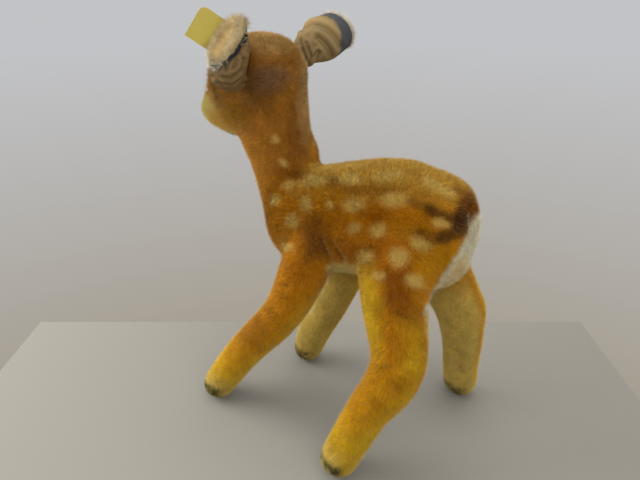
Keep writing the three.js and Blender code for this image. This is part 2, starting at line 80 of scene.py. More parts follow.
def in_scene(name, data):
    made = bpy.data.objects.new(name, data)
    bpy.context.scene.collection.objects.link(made)
    return made


camera_data = bpy.data.cameras.new("photo_camera")
camera_data.sensor_width = SENSOR
camera_data.lens = SENSOR * FOCAL_PIXELS / PHOTO_WIDE
camera_data.clip_start = 0.01
camera = in_scene("photo_camera", camera_data)
camera.matrix_world = Matrix((view_right, view_up, -view_ahead)).transposed().to_4x4()
camera.location = eye_point
bpy.context.scene.camera = camera
bpy.context.scene.view_settings.view_transform = "Standard"


def in_photo(points):
    """Where points fall in the photograph's frame, in its pixels."""
    away = points - np.array(eye_point)
    depth = away @ np.array(view_ahead)
    across = PHOTO_WIDE / 2 + FOCAL_PIXELS * (away @ np.array(view_right)) / depth
    down = PHOTO_HIGH / 2 - FOCAL_PIXELS * (away @ np.array(view_up)) / depth
    return across, down


# Colours
def dye(red, green, blue):
    """A colour given as on a screen, 0 to 255, as the linear values that shaders take."""
    screen = np.array([red, green, blue]) / 255
    return np.where(screen <= 0.04045, screen / 12.92, ((screen + 0.055) / 1.055) ** 2.4)


# Painted light for the trunk's upward faces, lighter where light from above falls
GOLDEN_PAINTED_TOP_LIGHT = dye(206, 160, 62)
MUZZLE = dye(255, 205, 112)
AMBER = dye(190, 122, 8)
OCHRE = dye(146, 90, 4)
RUST = dye(156, 84, 2)
HONEY = dye(200, 142, 6)
BRIGHT = dye(216, 170, 28)
STRAW = dye(204, 184, 108)
BROWN = dye(148, 98, 46)
UMBER = dye(128, 72, 16)
DARK = dye(66, 36, 18)
SPOT = dye(222, 186, 98)
CREAM = dye(242, 208, 130)
OLIVE = dye(200, 168, 80)
WHITE = dye(228, 216, 182)
SEAM = dye(208, 188, 128)
TAN = dye(204, 162, 98)
TOE = dye(50, 52, 26)
BEHIND_EAR = dye(124, 90, 60)


# Materials
def feed(node, **inputs):
    """Sets each input of a shader node to a value, or links it to another node's output."""
    for name, value in inputs.items():
        socket = node.inputs[name.replace("_", " ")]
        if isinstance(value, bpy.types.NodeSocket):
            node.id_data.links.new(value, socket)
        else:
            socket.default_value = value


def add_node(tree, kind, **inputs):
    node = tree.nodes.new(f"ShaderNode{kind}")
    feed(node, **inputs)
    return node


def new_material(name, **sockets):
    material = bpy.data.materials.new(name)
    material.use_nodes = True
    shader = material.node_tree.nodes["Principled BSDF"]
    feed(shader, **sockets)
    return material, material.node_tree, shader


def attribute(tree, name):
    node = add_node(tree, "Attribute")
    node.attribute_name = name
    return node


def bumped(tree, height, strength, distance):
    return add_node(tree, "Bump", Strength=strength, Distance=distance, Height=height).outputs["Normal"]


def fine_noise(tree, scale, detail=4, stretch=(1, 1, 1)):
    place = add_node(tree, "TexCoord").outputs["Object"]
    stretched = add_node(tree, "Mapping", Scale=stretch, Vector=place).outputs["Vector"]
    return add_node(tree, "TexNoise", Scale=scale, Detail=detail, Vector=stretched).outputs["Fac"]


def two_tones(tree, share, first, second, low=0.35, high=0.65):
    ramp = add_node(tree, "ValToRGB", Fac=share)
    ends = ramp.color_ramp.elements
    ends[0].position, ends[1].position = low, high
    ends[0].color, ends[1].color = (*first, 1), (*second, 1)
    return ramp.outputs["Color"]


def mottled_material(name, roughness, scale, detail, first, second, stretch=(1, 1, 1), bump=None, **sockets):
    """Two tones in a fine noise, which also raises the surface where a bump's strength and distance
    are given."""
    material, tree, shader = new_material(name, Roughness=roughness, **sockets)
    share = fine_noise(tree, scale, detail, stretch)
    feed(shader, Base_Color=two_tones(tree, share, first, second))
    if bump:
        feed(shader, Normal=bumped(tree, share, *bump))
    return material


def tinted_material(name, roughness, noise_scale, noise_low, bump_distance, **sockets):
    """A material that takes its colour from the piece's own tint, with a fine mottle over it."""
    material, tree, shader = new_material(name, Roughness=roughness, **sockets)
    share = fine_noise(tree, noise_scale)
    mottle = tree.nodes.new("ShaderNodeMix")
    mottle.data_type, mottle.blend_type = "RGBA", "MULTIPLY"
    shade = two_tones(tree, share, (noise_low,) * 3, (1, 1, 1))
    feed(mottle, Factor=1, A=attribute(tree, "tint").outputs["Color"], B=shade)
    feed(shader, Base_Color=mottle.outputs["Result"])
    if bump_distance:
        feed(shader, Normal=bumped(tree, share, 0.6, bump_distance))
    return material


def pile_material(name, roughness, noise_scale, noise_low, **sockets):
    """A tinted material whose hairs are lit as the skin under them, on both of their faces."""
    material = tinted_material(name, roughness, noise_scale, noise_low, 0, **sockets)
    tree = material.node_tree
    turned = add_node(tree, "VectorTransform", Vector=attribute(tree, "facing").outputs["Vector"])
    turned.vector_type, turned.convert_from, turned.convert_to = "NORMAL", "OBJECT", "WORLD"
    feed(tree.nodes["Principled BSDF"], Normal=turned.outputs["Vector"])
    return material


plush_ground = tinted_material("plush ground cloth", 0.95, 900, 0.7, 0.0008, Specular_IOR_Level=0.05)
plush_pile = pile_material("mohair pile", 0.75, 260, 0.86, Sheen_Weight=0.42, Sheen_Roughness=0.28,
                           Sheen_Tint=(*dye(244, 222, 160), 1), Specular_IOR_Level=0.03)


# Shapes
def new_piece(name, mesh, material, body, slot, *replaced):
    """A piece that rides a body, in the place of some CAD nodes."""
    piece = in_scene(name, mesh)
    mesh.materials.append(material)
    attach(piece, body)
    if replaced:
        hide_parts(*replaced)
    return piece


def with_modifiers(mesh, name, *modifiers):
    """The mesh after some modifiers, each a type with its settings."""
    work = in_scene("work", mesh)
    for kind, settings in modifiers:
        modifier = work.modifiers.new(kind.lower(), kind)
        for setting, value in settings.items():
            setattr(modifier, setting, value)
    shaped = bpy.data.meshes.new_from_object(work.evaluated_get(bpy.context.evaluated_depsgraph_get()))
    shaped.name = name
    bpy.data.objects.remove(work)
    return shaped


def mesh_from(bm, name):
    mesh = bpy.data.meshes.new(name)
    bm.to_mesh(mesh)
    bm.free()
    return mesh


def keep_largest_island(mesh):
    bm = bmesh.new()
    bm.from_mesh(mesh)
    left, best = set(bm.verts), []
    while left:
        island, front = [], [left.pop()]
        while front:
            vertex = front.pop()
            island.append(vertex)
            for edge in vertex.link_edges:
                other = edge.other_vert(vertex)
                if other in left:
                    left.remove(other)
                    front.append(other)
        if len(island) > len(best):
            best = island
    kept = set(best)
    bmesh.ops.delete(bm, geom=[v for v in bm.verts if v not in kept], context="VERTS")
    bm.to_mesh(mesh)
    bm.free()


def merged_copy(name, names):
    """The meshes of some CAD nodes as one mesh, with the points of neighbouring faces merged."""
    bm = bmesh.new()
    for node in names:
        bm.from_mesh(nodes[node].data)
    bmesh.ops.remove_doubles(bm, verts=bm.verts, dist=1e-6)
    return mesh_from(bm, name)


def one_skin(name, names, voxel, smoothing, inset):
    """One closed skin round some CAD nodes, smoothed and drawn in by the depth of its pile."""
    mesh = merged_copy(name, names)
    mesh = with_modifiers(mesh, name, ("REMESH", {"mode": "VOXEL", "voxel_size": voxel}))
    keep_largest_island(mesh)
    return with_modifiers(
        mesh, name,
        ("SMOOTH", {"factor": 0.5, "iterations": smoothing}),
        ("DISPLACE", {"strength": -inset, "mid_level": 0}),
        ("SMOOTH", {"factor": 0.5, "iterations": 3}),
        ("TRIANGULATE", {}),
    )


def unit_grid(across, up):
    """A flat grid of faces, and how far across and up it each of its points lies, from 0 to 1."""
    bm = bmesh.new()
    bmesh.ops.create_grid(bm, x_segments=across, y_segments=up, size=0.5)
    return bm, np.array([vertex.co for vertex in bm.verts]).T[:2] + 0.5


def values_of(items, name, width, kind=float):
    """A value of each of a mesh's items, as the rows of an array."""
    values = np.zeros(len(items) * width, kind)
    items.foreach_get(name, values)
    return values.reshape(-1, width)


def points_of(mesh):
    return values_of(mesh.vertices, "co", 3)


def normals_of(mesh):
    return values_of(mesh.vertices, "normal", 3)


def triangles_of(mesh):
    mesh.calc_loop_triangles()
    return values_of(mesh.loop_triangles, "vertices", 3, np.int32)


def set_points(mesh, points):
    mesh.vertices.foreach_set("co", points.astype(np.float32).ravel())
    mesh.update()


def unit(vectors):
    return vectors / np.maximum(np.linalg.norm(vectors, axis=-1, keepdims=True), 1e-12)


def ease(value, low, high):
    share = np.clip((value - low) / (high - low), 0, 1)
    return share * share * (3 - 2 * share)


def smooth_noise(points, size, offset=0):
    """Three values from about -1 to 1 at each point, which change over a given size."""
    return np.array([noise.noise_vector(Vector(p) / size + Vector((offset, 0, 0))) for p in points])


TUFT_WAVES = np.random.default_rng(11).normal(0, 1, (14, 3))


def tufts(points, size):
    """A value from about -1 to 1 at each point that changes from tuft to tuft."""
    phases = np.arange(len(TUFT_WAVES)) * 1.7
    return np.sin(points @ TUFT_WAVES.T * 2.2 / size + phases).sum(1) / math.sqrt(len(TUFT_WAVES))


def set_tint(mesh, colours):
    tint = mesh.color_attributes.new("tint", "FLOAT_COLOR", "POINT")
    packed = np.ones((len(mesh.vertices), 4), np.float32)
    packed[:, :3] = colours
    tint.data.foreach_set("color", packed.ravel())


# Parts, and the lie of their pile
def centre_line(node, axis, slices, backwards=False):
    """The middles of a node's slices along an axis, in the order in which its pile lies."""
    points = points_of(nodes[node].data)
    cuts = np.linspace(points[:, axis].min(), points[:, axis].max(), slices + 1)
    line = []
    for low, high in zip(cuts[:-1], cuts[1:]):
        inside = points[(points[:, axis] >= low) & (points[:, axis] <= high)]
        line.append((inside.min(0) + inside.max(0)) / 2)
    return np.array(line[::-1] if backwards else line)


X, Y, Z = range(3)
# Each part's centre line and about how thick the part is round it, in metres
LINES = {
    "trunk": (centre_line("trunk_cover", Y, 8), 0.046),
    "neck": (centre_line("neck_cover", Z, 6, backwards=True), 0.027),
    "head": (centre_line("head_cover", Y, 6), 0.03),
    **{leg: (centre_line(f"{leg}_leg_cover", Z, 9, backwards=True), 0.017) for leg in LEGS},
}
PARTS = list(LINES)


def from_line(points, line):
    """How far each point is from each stretch of a broken line, and how each stretch runs."""
    line = np.array(line, float)
    start, run = line[:-1], line[1:] - line[:-1]
    share = np.clip(((points[:, None] - start) * run).sum(-1) / (run * run).sum(-1), 0, 1)
    return np.linalg.norm(points[:, None] - start - share[..., None] * run, axis=-1), run


def part_weights(points):
    """How much each skin point belongs to each part, and the way that its pile lies."""
    closeness, ways = [], []
    for line, radius in LINES.values():
        far, run = from_line(points, line)
        closeness.append(np.exp(-5 * far.min(1) / radius))
        near = 1 / np.maximum(far, 1e-4) ** 4
        ways.append(unit((near[..., None] * unit(run)).sum(1)))
    weights = np.array(closeness).T
    weights /= weights.sum(1, keepdims=True)
    return weights, np.einsum("ij,jik->ik", weights, np.array(ways))


# The sprayed pattern
# Each spot: its place in the photograph's frame, half its width and height, and its slant in degrees.
SPOTS = [
    (276, 138, 5, 5, 0), (284, 162, 6, 4, 30), (289, 184, 8, 6, -15), (315, 182, 13, 6, -8),
    (350, 180, 14, 6, 0), (388, 177, 17, 6, -4), (276, 199, 6, 7, 0), (307, 204, 7, 7, 0),
    (330, 204, 4, 5, 0), (354, 204, 13, 8, -6), (394, 200, 15, 8, -4), (431, 185, 13, 5, 28),
    (445, 193, 10, 5, 28), (293, 220, 8, 7, -20), (354, 227, 7, 5, -30), (378, 229, 10, 8, -20),
    (439, 222, 9, 5, 10), (420, 243, 12, 7, 20), (289, 246, 7, 5, 10), (366, 256, 9, 8, 10),
    (400, 256, 10, 10, 10), (380, 274, 8, 5, 0), (414, 280, 11, 7, 20),
]
# Sprayed shades: place, half width, half height, slant, colour and strength.
SHADES = [
    (300, 125, 10, 52, 0, BROWN, 0.6), (294, 128, 7, 46, 0, UMBER, 0.5),
    (250, 150, 12, 20, 30, HONEY, 0.2), (292, 173, 20, 8, 14, UMBER, 0.65),
    (318, 236, 20, 26, 0, UMBER, 0.8), (312, 250, 9, 12, 0, DARK, 0.35),
    (333, 183, 8, 8, 0, BROWN, 0.6), (340, 212, 16, 22, 0, AMBER, 0.9),
    (335, 235, 12, 16, 0, RUST, 0.7), (372, 190, 40, 6, 0, UMBER, 0.4),
    (234, 112, 12, 16, 0, HONEY, 0.4), (338, 240, 12, 18, 0, AMBER, 0.5),
    (350, 232, 26, 14, 0, AMBER, 0.7), (376, 216, 18, 8, 0, RUST, 0.6),
    (345, 250, 14, 12, 0, RUST, 0.5), (262, 80, 16, 18, 0, BEHIND_EAR, 0.9),
    (277, 77, 15, 14, 0, BEHIND_EAR, 0.85), (205, 108, 15, 20, 0, MUZZLE, 0.95),
    (222, 122, 16, 12, 30, HONEY, 0.6), (268, 44, 28, 13, 0, TAN, 0.75), (303, 90, 7, 50, 0, TAN, 0.7),
    (468, 198, 9, 10, 0, UMBER, 0.6), (380, 402, 18, 30, 40, HONEY, 0.8),
    (366, 308, 7, 30, -4, BRIGHT, 0.5), (430, 262, 18, 22, 0, HONEY, 0.6),
    (452, 262, 14, 20, 0, HONEY, 0.6), (406, 232, 16, 9, 0, HONEY, 0.5),
    (322, 196, 22, 14, 0, HONEY, 0.4), (385, 250, 36, 22, 0, RUST, 0.55),
    (398, 296, 18, 20, 0, UMBER, 0.65), (412, 314, 12, 12, 0, UMBER, 0.55),
    (392, 274, 18, 10, 0, RUST, 0.9), (395, 275, 14, 8, 0, UMBER, 0.5),
    (402, 292, 10, 26, 0, RUST, 0.75), (300, 272, 18, 16, 0, RUST, 0.5),
    (258, 326, 14, 34, 42, OCHRE, 0.85), (236, 358, 14, 16, 42, HONEY, 0.5),
    (369, 302, 14, 44, -6, BRIGHT, 0.95), (376, 340, 10, 26, -10, BRIGHT, 0.6),
    (404, 382, 16, 10, -40, RUST, 0.45), (400, 345, 14, 16, 0, AMBER, 0.5),
    (284, 300, 12, 30, 35, AMBER, 0.6),
]
# Sprayed stripes: their points, half width, colour and strength.
STRIPES = [
    ([(412, 202), (424, 207), (434, 211)], 4, DARK, 0.4),
    ([(430, 210), (446, 216), (458, 219)], 5, DARK, 0.7),
    ([(455, 224), (460, 214), (464, 204)], 8, DARK, 0.95),
    ([(465, 206), (462, 196), (455, 190)], 6, UMBER, 0.6),
    ([(463, 225), (454, 232), (442, 236)], 7, DARK, 0.75),
    ([(444, 236), (430, 236), (418, 232)], 6, DARK, 0.45),
]
# Seams where pale pile shows: their points, half width, colour and strength.
SEAMS = [
    ([(480, 216), (474, 222), (466, 240), (456, 256), (443, 276), (430, 294), (424, 312)], 2.4, WHITE, 0.95),
    ([(424, 312), (425, 330), (431, 350)], 2, SPOT, 0.7),
    ([(326, 266), (333, 264), (346, 263), (359, 266)], 2.4, SPOT, 0.85),
    ([(328, 268), (326, 284), (311, 311), (299, 323)], 2, SEAM, 0.6),
]
# The white under the tail starts at these places across, each at its height in the photograph.
WHITE_EDGE = ([205, 212, 224, 240, 252, 264, 280], [486, 476, 470, 464, 458, 450, 440])
WHITE_SOFT = (-5, 4)
# Where the stuffing swells the skin or leaves it slack: place, half width, half height, slant, metres.
SWELLS = [
    (474, 194, 16, 24, -35, 0.0026), (345, 160, 34, 12, -6, -0.0036), (412, 160, 34, 10, 8, 0.0022),
    (316, 140, 9, 32, 6, 0.0036), (206, 76, 10, 16, 0, -0.004), (246, 146, 14, 14, 35, 0.004),
    (250, 300, 14, 34, 40, 0.004), (486, 300, 8, 26, 0, 0.003), (260, 372, 16, 10, -30, -0.002),
    (475, 258, 9, 18, -15, -0.003), (200, 108, 8, 13, 0, 0.0028),
]
# Where the skin is drawn smooth over a hollow: place, half width, half height and slant.
DRAWN_OVER = [(243, 144, 16, 13, 35), (292, 240, 13, 17, 0)]
# Creases: their points, half width in pixels and depth in metres.
CREASES = [
    ([(322, 238), (325, 247), (329, 256)], 1.6, 0.003),
    ([(333, 242), (338, 250), (343, 258)], 1.6, 0.0026), ([(282, 284), (290, 283)], 1.4, 0.002),
    ([(377, 366), (384, 367), (391, 365)], 1.6, 0.001), ([(278, 261), (284, 262)], 1.4, 0.002),
    ([(394, 310), (404, 316), (412, 317)], 1.6, 0.0012),
]
# The seam down the back of the neck, where the pile parts: its points and half width.
NAPE = ([(307, 62), (309, 84), (310, 108), (310, 132), (309, 156)], 3.4)


def on_spot(across, down, spot):
    """How far each place is from a spot's middle, as a share of its size."""
    u, v, wide, high, slant = spot
    turn = math.radians(slant)
    along = (across - u) * math.cos(turn) + (down - v) * math.sin(turn)
    over = (down - v) * math.cos(turn) - (across - u) * math.sin(turn)
    return np.hypot(along / wide, over / high)


def on_stripe(across, down, points):
    """How far each place is from a broken line, in pixels."""
    return from_line(np.stack([across, down], 1), points)[0].min(1)


def blend_in(colours, share, colour):
    """One or many colours, changed towards another by each share."""
    return colours + share[:, None] * (colour - colours)


def toward_camera(normals):
    """How squarely each normal faces the camera, from -1 to 1."""
    return normals @ -np.array(view_ahead)


def mirrored(points, normals):
    """Where skin points fall in the photograph, those that it doesn't show as their twins on the other
    side, with how well each is seen from there."""
    hidden = (toward_camera(normals) < 0) & (points[:, X] < trunk_middle.x)
    points, normals = points.copy(), normals.copy()
    points[hidden, X] = 2 * trunk_middle.x - points[hidden, X]
    normals[hidden, X] *= -1
    return *in_photo(points), ease(toward_camera(normals), -0.15, 0.25)


# How far the sprayed pattern strays from its places, in pixels, and over which size
RAGGED, RAGGED_SIZE = 2.2, 0.008
SPOT_STRENGTH = 0.78
TOE_TOP, TOE_FULL, TOE_RAGGED = 0.026, 0.019, 0.004


def coat(points, normals, weights):
    """The colour of the plush at each skin point."""
    part = dict(zip(PARTS, weights.T))
    trunk, neck, head = part["trunk"], part["neck"], part["head"]
    fore = part["front_left"] + part["front_right"]
    hind = part["hind_left"] + part["hind_right"]
    across, down, seen = mirrored(points, normals)
    ragged = smooth_noise(points, RAGGED_SIZE)
    across, down = across + RAGGED * ragged[:, 0], down + RAGGED * ragged[:, 1]
    legs, height, behind_nose = fore + hind, points[:, Z], points[:, Y] - nose_y
    level, back, up = normals.T

    outward = level * np.sign(points[:, X] - trunk_middle.x)
    heels = ease(back, 0.1, 0.7) * ease(outward, -0.2, 0.4) * hind * ease(height, 0.2, 0.17)
    jaw = ease(-up, 0.3, 0.8) * head * ease(behind_nose, 0.085, 0.05)
    inner = sum(part[leg] * ease(-level if "left" in leg else level, -0.05, 0.5) for leg in LEGS)
    white = ease(across - np.interp(down, *WHITE_EDGE), *WHITE_SOFT) * ease(back, 0, 0.4) * (trunk + hind)
    # Each wash of colour goes over those before it, by a share.
    washes = [
        # Painted light: the trunk's upward faces are lighter, as where light from above falls
        (0.85 * ease(up, 0.35, 0.85) * trunk, GOLDEN_PAINTED_TOP_LIGHT),
        (0.55 * (neck + head), BROWN),
        (0.6 * ease(-back, 0.1, 0.7) * neck, AMBER),
        (0.5 * ease(height, 0.15, 0.11) * legs, HONEY),
        (0.8 * ease(height, 0.09, 0.04) * legs, BRIGHT),
        (0.8 * ease(height, 0.045, 0.014) * legs, STRAW),
        (0.6 * ease(abs(back), 0.45, 0.95) * fore * ease(height, 0.17, 0.12), BRIGHT),
        (0.8 * heels, BRIGHT),
        (ease(behind_nose, 0.055, 0.012) * head, MUZZLE),
        (0.7 * jaw, MUZZLE),
        (inner * ease(height, 0.215, 0.18), OLIVE),
        (0.9 * ease(-up, 0.35, 0.8) * trunk, CREAM),
        (white * ease(height, 0.17, 0.19), WHITE),
    ]
    for *place, colour, strength in SHADES:
        washes.append((strength * seen * ease(on_spot(across, down, place), 1.5, 0.2), colour))
    for line, half, colour, strength in STRIPES + SEAMS:
        far = on_stripe(across, down, line)
        washes.append((strength * seen * ease(far, half * 1.6, half * 0.4), colour))
    for spot in SPOTS:
        washes.append((SPOT_STRENGTH * seen * ease(on_spot(across, down, spot), 1.35, 0.4), SPOT))
    streaks = smooth_noise(points * np.array([1, 1, 0.3]), 0.0026, 5)[:, 0]
    toes = ease(height + TOE_RAGGED * streaks, TOE_TOP, TOE_FULL) * ease(streaks, -0.6, -0.1)
    washes.append((toes * ease(-back, -0.95, -0.4) * legs, TOE))
    nape = parting(points, normals, weights)[0]
    washes.append((0.45 * nape * ease(streaks, -0.4, 0.3), SPOT))

    colours = AMBER
    for share, colour in washes:
        colours = blend_in(colours, share, colour)
    return colours


def parting(points, normals, weights):
    """How close each skin point lies to the seam of the nape, and to which side of it."""
    line, half = NAPE
    across, down = in_photo(points)
    far = on_stripe(across, down, line)
    behind = ease(normals[:, Y], 0, 0.4) * (weights[:, PARTS.index("neck")] + weights[:, PARTS.index("head")])
    seam_across, seam_down = np.array(line).T
    side = np.sign(across - np.interp(down, seam_down, seam_across))
    return ease(far, half * 1.6, half * 0.3) * behind, side


def swollen(points, normals):
    """How far the stuffing swells the skin at each point, in metres."""
    across, down, _ = mirrored(points, normals)
    return sum(swell * ease(on_spot(across, down, place), 1.3, 0) for *place, swell in SWELLS)


def relaxed(mesh, points, share, turns):
    """Points drawn to the middle of their neighbours, by a share of the way at each turn."""
    one, other = values_of(mesh.edges, "vertices", 2, np.int32).T
    count = np.bincount(np.append(one, other), minlength=len(points))[:, None]
    for _ in range(turns):
        total = np.zeros_like(points)
        np.add.at(total, one, points[other])
        np.add.at(total, other, points[one])
        points = points + share[:, None] * (total / count - points)
    return points


def creased(points, normals):
    """How deep each skin point lies in a crease, in metres."""
    across, down, seen = mirrored(points, normals)
    return seen * sum(deep * ease(on_stripe(across, down, line), half * 2, 0) for line, half, deep in CREASES)


nose_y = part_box("head_cover")[0].y


# Pile
# A hair: how deep its root sits, how evenly it leans, how far it rolls over, its least share outwards,
# the range of its length and width, how much painted shade darkens its root deep in the pile, and how much
# painted light brightens and pales its tip.
ROOT_DEEP = 0.0004
LEAN_SPREAD, ROLL_SPREAD, LEAST_OUTWARD = 0.13, 0.5, 0.15
LONG_RANGE, WIDE_RANGE = (0.65, 1.15), (0.7, 1.3)
ROOT_PAINTED_SHADE, TIP_PAINTED_LIGHT, TIP_PAINTED_GLOW = 0.7, 1.4, 0.012
# How much the hairs differ in shade one by one, and from tuft to tuft: share and size
SHADE_SPREAD, TUFT_SHADES = 0.12, [(0.07, 0.004), (0.06, 0.011)]
# How much the hairs differ in how they are lit
LIT_SPREAD = 0.32


def grow(mesh, colours, lie, per_mm2, length, width, lean, jitter, density=None):
    """Roots a hair of one face at random places all over a mesh, none of them below the table. Gives the
    hairs' corners, their colours, the way that the skin faces at each, and the triangle it grows from."""
    points, normals, triangles = points_of(mesh), normals_of(mesh), triangles_of(mesh)
    corners = points[triangles]
    areas = np.linalg.norm(np.cross(corners[:, 1] - corners[:, 0], corners[:, 2] - corners[:, 0]), axis=1) / 2
    if density is not None:
        areas = areas * density[triangles].min(1)
    count = int(areas.sum() * 1e6 * per_mm2)
    chosen = chance.choice(len(triangles), count, p=areas / areas.sum())
    first, second = chance.random((2, count))
    over = first + second > 1
    first[over], second[over] = 1 - first[over], 1 - second[over]
    shares = np.stack([1 - first - second, first, second], 1)[..., None]
    mix = lambda values: (values[triangles[chosen]] * shares).sum(1)
    root, facing, colour = mix(points), unit(mix(normals)), mix(colours)
    way = mix(lie)
    way -= facing * (way * facing).sum(1, keepdims=True)
    spread = lambda values: mix(values[:, None])[:, 0] if np.ndim(values) else values
    tilt = (spread(lean) + chance.normal(0, LEAN_SPREAD, count))[:, None]
    stray = jitter * chance.normal(0, 1, (count, 3))
    direction = unit(facing * np.cos(tilt) + unit(way) * np.sin(tilt) + stray)
    outward = (direction * facing).sum(1, keepdims=True)
    direction = unit(direction + facing * np.maximum(LEAST_OUTWARD - outward, 0))
    long = (spread(length) * chance.uniform(*LONG_RANGE, count))[:, None]
    aside = unit(np.cross(direction, facing))
    roll = chance.normal(0, ROLL_SPREAD, count)[:, None]
    flat = aside * np.cos(roll) + unit(np.cross(aside, direction)) * np.sin(roll)
    half = flat * width / 2 * chance.uniform(*WIDE_RANGE, count)[:, None]
    root = root - ROOT_DEEP * facing
    tip = root + direction * long
    hairs = np.stack([root - half, root + half, tip], 1)
    hairs[..., Z] = np.maximum(hairs[..., Z], 0)
    shade = chance.normal(1, SHADE_SPREAD, count)
    shade = (shade + sum(share * tufts(root, size) for share, size in TUFT_SHADES))[:, None]
    # Painted shade darkens each root, and painted light brightens each tip
    root_colour = colour * ROOT_PAINTED_SHADE * shade
    tip_colour = np.minimum((colour * TIP_PAINTED_LIGHT + TIP_PAINTED_GLOW * CREAM) * shade, 1)
    ends = np.stack([root_colour, root_colour, tip_colour], 1)
    return hairs, ends, facing, chosen


def new_pile(name, body, slot, hairs, ends, facing):
    """A piece of hairs, each one face, shaded as the skin under them faces."""
    count = len(hairs)
    mesh = bpy.data.meshes.new(name)
    mesh.vertices.add(count * 3)
    mesh.vertices.foreach_set("co", hairs.astype(np.float32).ravel())
    mesh.loops.add(count * 3)
    mesh.loops.foreach_set("vertex_index", np.arange(count * 3, dtype=np.int32))
    mesh.polygons.add(count)
    mesh.polygons.foreach_set("loop_start", np.arange(0, count * 3, 3, dtype=np.int32))
    mesh.update(calc_edges=True)
    set_tint(mesh, ends.reshape(-1, 3))
    soft = unit(facing + LIT_SPREAD * chance.normal(0, 1, facing.shape))
    for layer in ("custom_normal", "facing"):
        vectors = mesh.attributes.new(layer, "FLOAT_VECTOR", "POINT")
        vectors.data.foreach_set("vector", np.repeat(soft, 3, axis=0).astype(np.float32).ravel())
    new_piece(name, mesh, plush_pile, body, slot)


# Plush skin
STUFFING_GAP, STUFFING_REACH = 0.0004, 0.006


def clear_of_stuffing(points):
    """Skin points moved out to a small gap above the stuffing, with how far each was moved."""
    moved = points.copy()
    for name in STUFFINGS:
        bm = bmesh.new()
        bm.from_mesh(nodes[name].data)
        tree = BVHTree.FromBMesh(bm)
        bm.free()
        for index, point in enumerate(moved):
            place, normal, _, far = tree.find_nearest(Vector(point), STUFFING_REACH)
            if place is not None and (far < STUFFING_GAP or (Vector(point) - place).dot(normal) < -far / 2):
                moved[index] = place + normal * STUFFING_GAP
    return moved, np.linalg.norm(moved - points, axis=1)


VOXEL = 0.0025
SKIN_SMOOTHING, SWELL_SMOOTHING = 9, 4
# The ground cloth is darker than its pile, as painted shade under the hairs. A crease darkens it with painted
# shade by a share, fully at a depth.
GROUND_PAINTED_SHADE, CREASE_SHARE, CREASE_FULL, CREASE_PAINTED_SHADE = 0.85, 0.6, 0.002, 0.6 * DARK
DRAWN_SHARE, DRAWN_TURNS = 0.6, 50
PILE_DEPTH, PILE_LENGTH, PILE_WIDTH = 0.0024, 0.0038, 0.0004
PILE_LEAN, PILE_JITTER = math.radians(30), 0.3
LEAST_PILE, BROW_PILE, BROW_REACH = 0.4, 1.1, 0.013
FRINGE_PALE, FRINGE_SHARE, FRINGE_LENGTH, FRINGE_WIDTH = 0.16, 0.1, 1.4, 0.0002
FRINGE_LEAN, FRINGE_JITTER = math.radians(26), 0.2
PER_MM2 = 7
# How much the pile sags on the trunk's sides, how it wavers (share, size and offset) and parts at the nape
PILE_SAG = 0.5
PILE_WAVERS = [(0.25, 0.011, 0), (0.12, 0.004, 9)]
NAPE_PARTING = np.array([-0.96, 0.24, 0])

skin = one_skin("plush_skin", COVERS + STUFFINGS, VOXEL, SKIN_SMOOTHING, PILE_DEPTH)
points, normals = points_of(skin), normals_of(skin)
weights, lie = part_weights(points)
# Swells, hollows drawn over, creases, and clear of the stuffing
points = points + normals * swollen(points, normals)[:, None]
set_points(skin, points)
skin = with_modifiers(skin, "plush_skin", ("SMOOTH", {"factor": 0.5, "iterations": SWELL_SMOOTHING}))
points, normals = points_of(skin), normals_of(skin)
across, down, _ = mirrored(points, normals)
hollow = sum(ease(on_spot(across, down, place), 1.4, 0.6) for place in DRAWN_OVER)
points = relaxed(skin, points, DRAWN_SHARE * hollow, DRAWN_TURNS)
set_points(skin, points)
normals = normals_of(skin)
folds = creased(points, normals)
points, pushed_out = clear_of_stuffing(points - normals * folds[:, None])
set_points(skin, points)
normals = normals_of(skin)

lie[:, Z] -= PILE_SAG * weights[:, PARTS.index("trunk")] * (1 - abs(normals[:, Z]))
lie = unit(lie) + sum(share * smooth_noise(points, size, offset) for share, size, offset in PILE_WAVERS)
nape, nape_side = parting(points, normals, weights)
lie += (nape * nape_side)[:, None] * NAPE_PARTING
colours = coat(points, normals, weights)
# Painted shade in the creases
colours = blend_in(colours, CREASE_SHARE * ease(folds, 0, CREASE_FULL), CREASE_PAINTED_SHADE)
# Painted shade darkens the ground cloth, as under the pile
set_tint(skin, colours * GROUND_PAINTED_SHADE)
new_piece("plush_skin", skin, plush_ground, "fawn", "plush", *COVERS)

# Pile of the skin: it stands longer behind the eyes.
eyes = [np.array(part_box(f"{side}_eye")[1]) for side in ("left", "right")]
brows = sum(np.linalg.norm(points - eye, axis=1) < BROW_REACH for eye in eyes)
brows = ease(brows * (points[:, Y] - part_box("left_eye")[0].y), 0.004, 0.008)
# It stands shorter where the stuffing holds the skin out.
pile_long = np.maximum(PILE_LENGTH - pushed_out, LEAST_PILE * PILE_LENGTH) + BROW_PILE * PILE_LENGTH * brows
pile = grow(skin, colours, lie, PER_MM2, pile_long, PILE_WIDTH, PILE_LEAN, PILE_JITTER)
# Sparse, fine and paler hairs stand out beyond the rest.
pale_colours = blend_in(colours, np.full(len(points), FRINGE_PALE), CREAM)
fringe = grow(skin, pale_colours, lie, FRINGE_SHARE * PER_MM2, FRINGE_LENGTH * pile_long, FRINGE_WIDTH,
              FRINGE_LEAN, FRINGE_JITTER)
hairs, ends, facing, chosen = (np.concatenate(pair) for pair in zip(pile, fringe))
home = weights[triangles_of(skin)[chosen, 0]].argmax(1)
for index, part in enumerate(PARTS):
    mine = home == index
    if part == "trunk":
        left = hairs[:, 0, X] > trunk_middle.x
        groups = {"trunk_pile_left": mine & left, "trunk_pile_right": mine & ~left}
    else:
        groups = {f"{part}_pile": mine}
    for name, group in groups.items():
        slot = "leg_plush" if part in LEGS else "plush"
        new_pile(name, "fawn", slot, hairs[group], ends[group], facing[group])

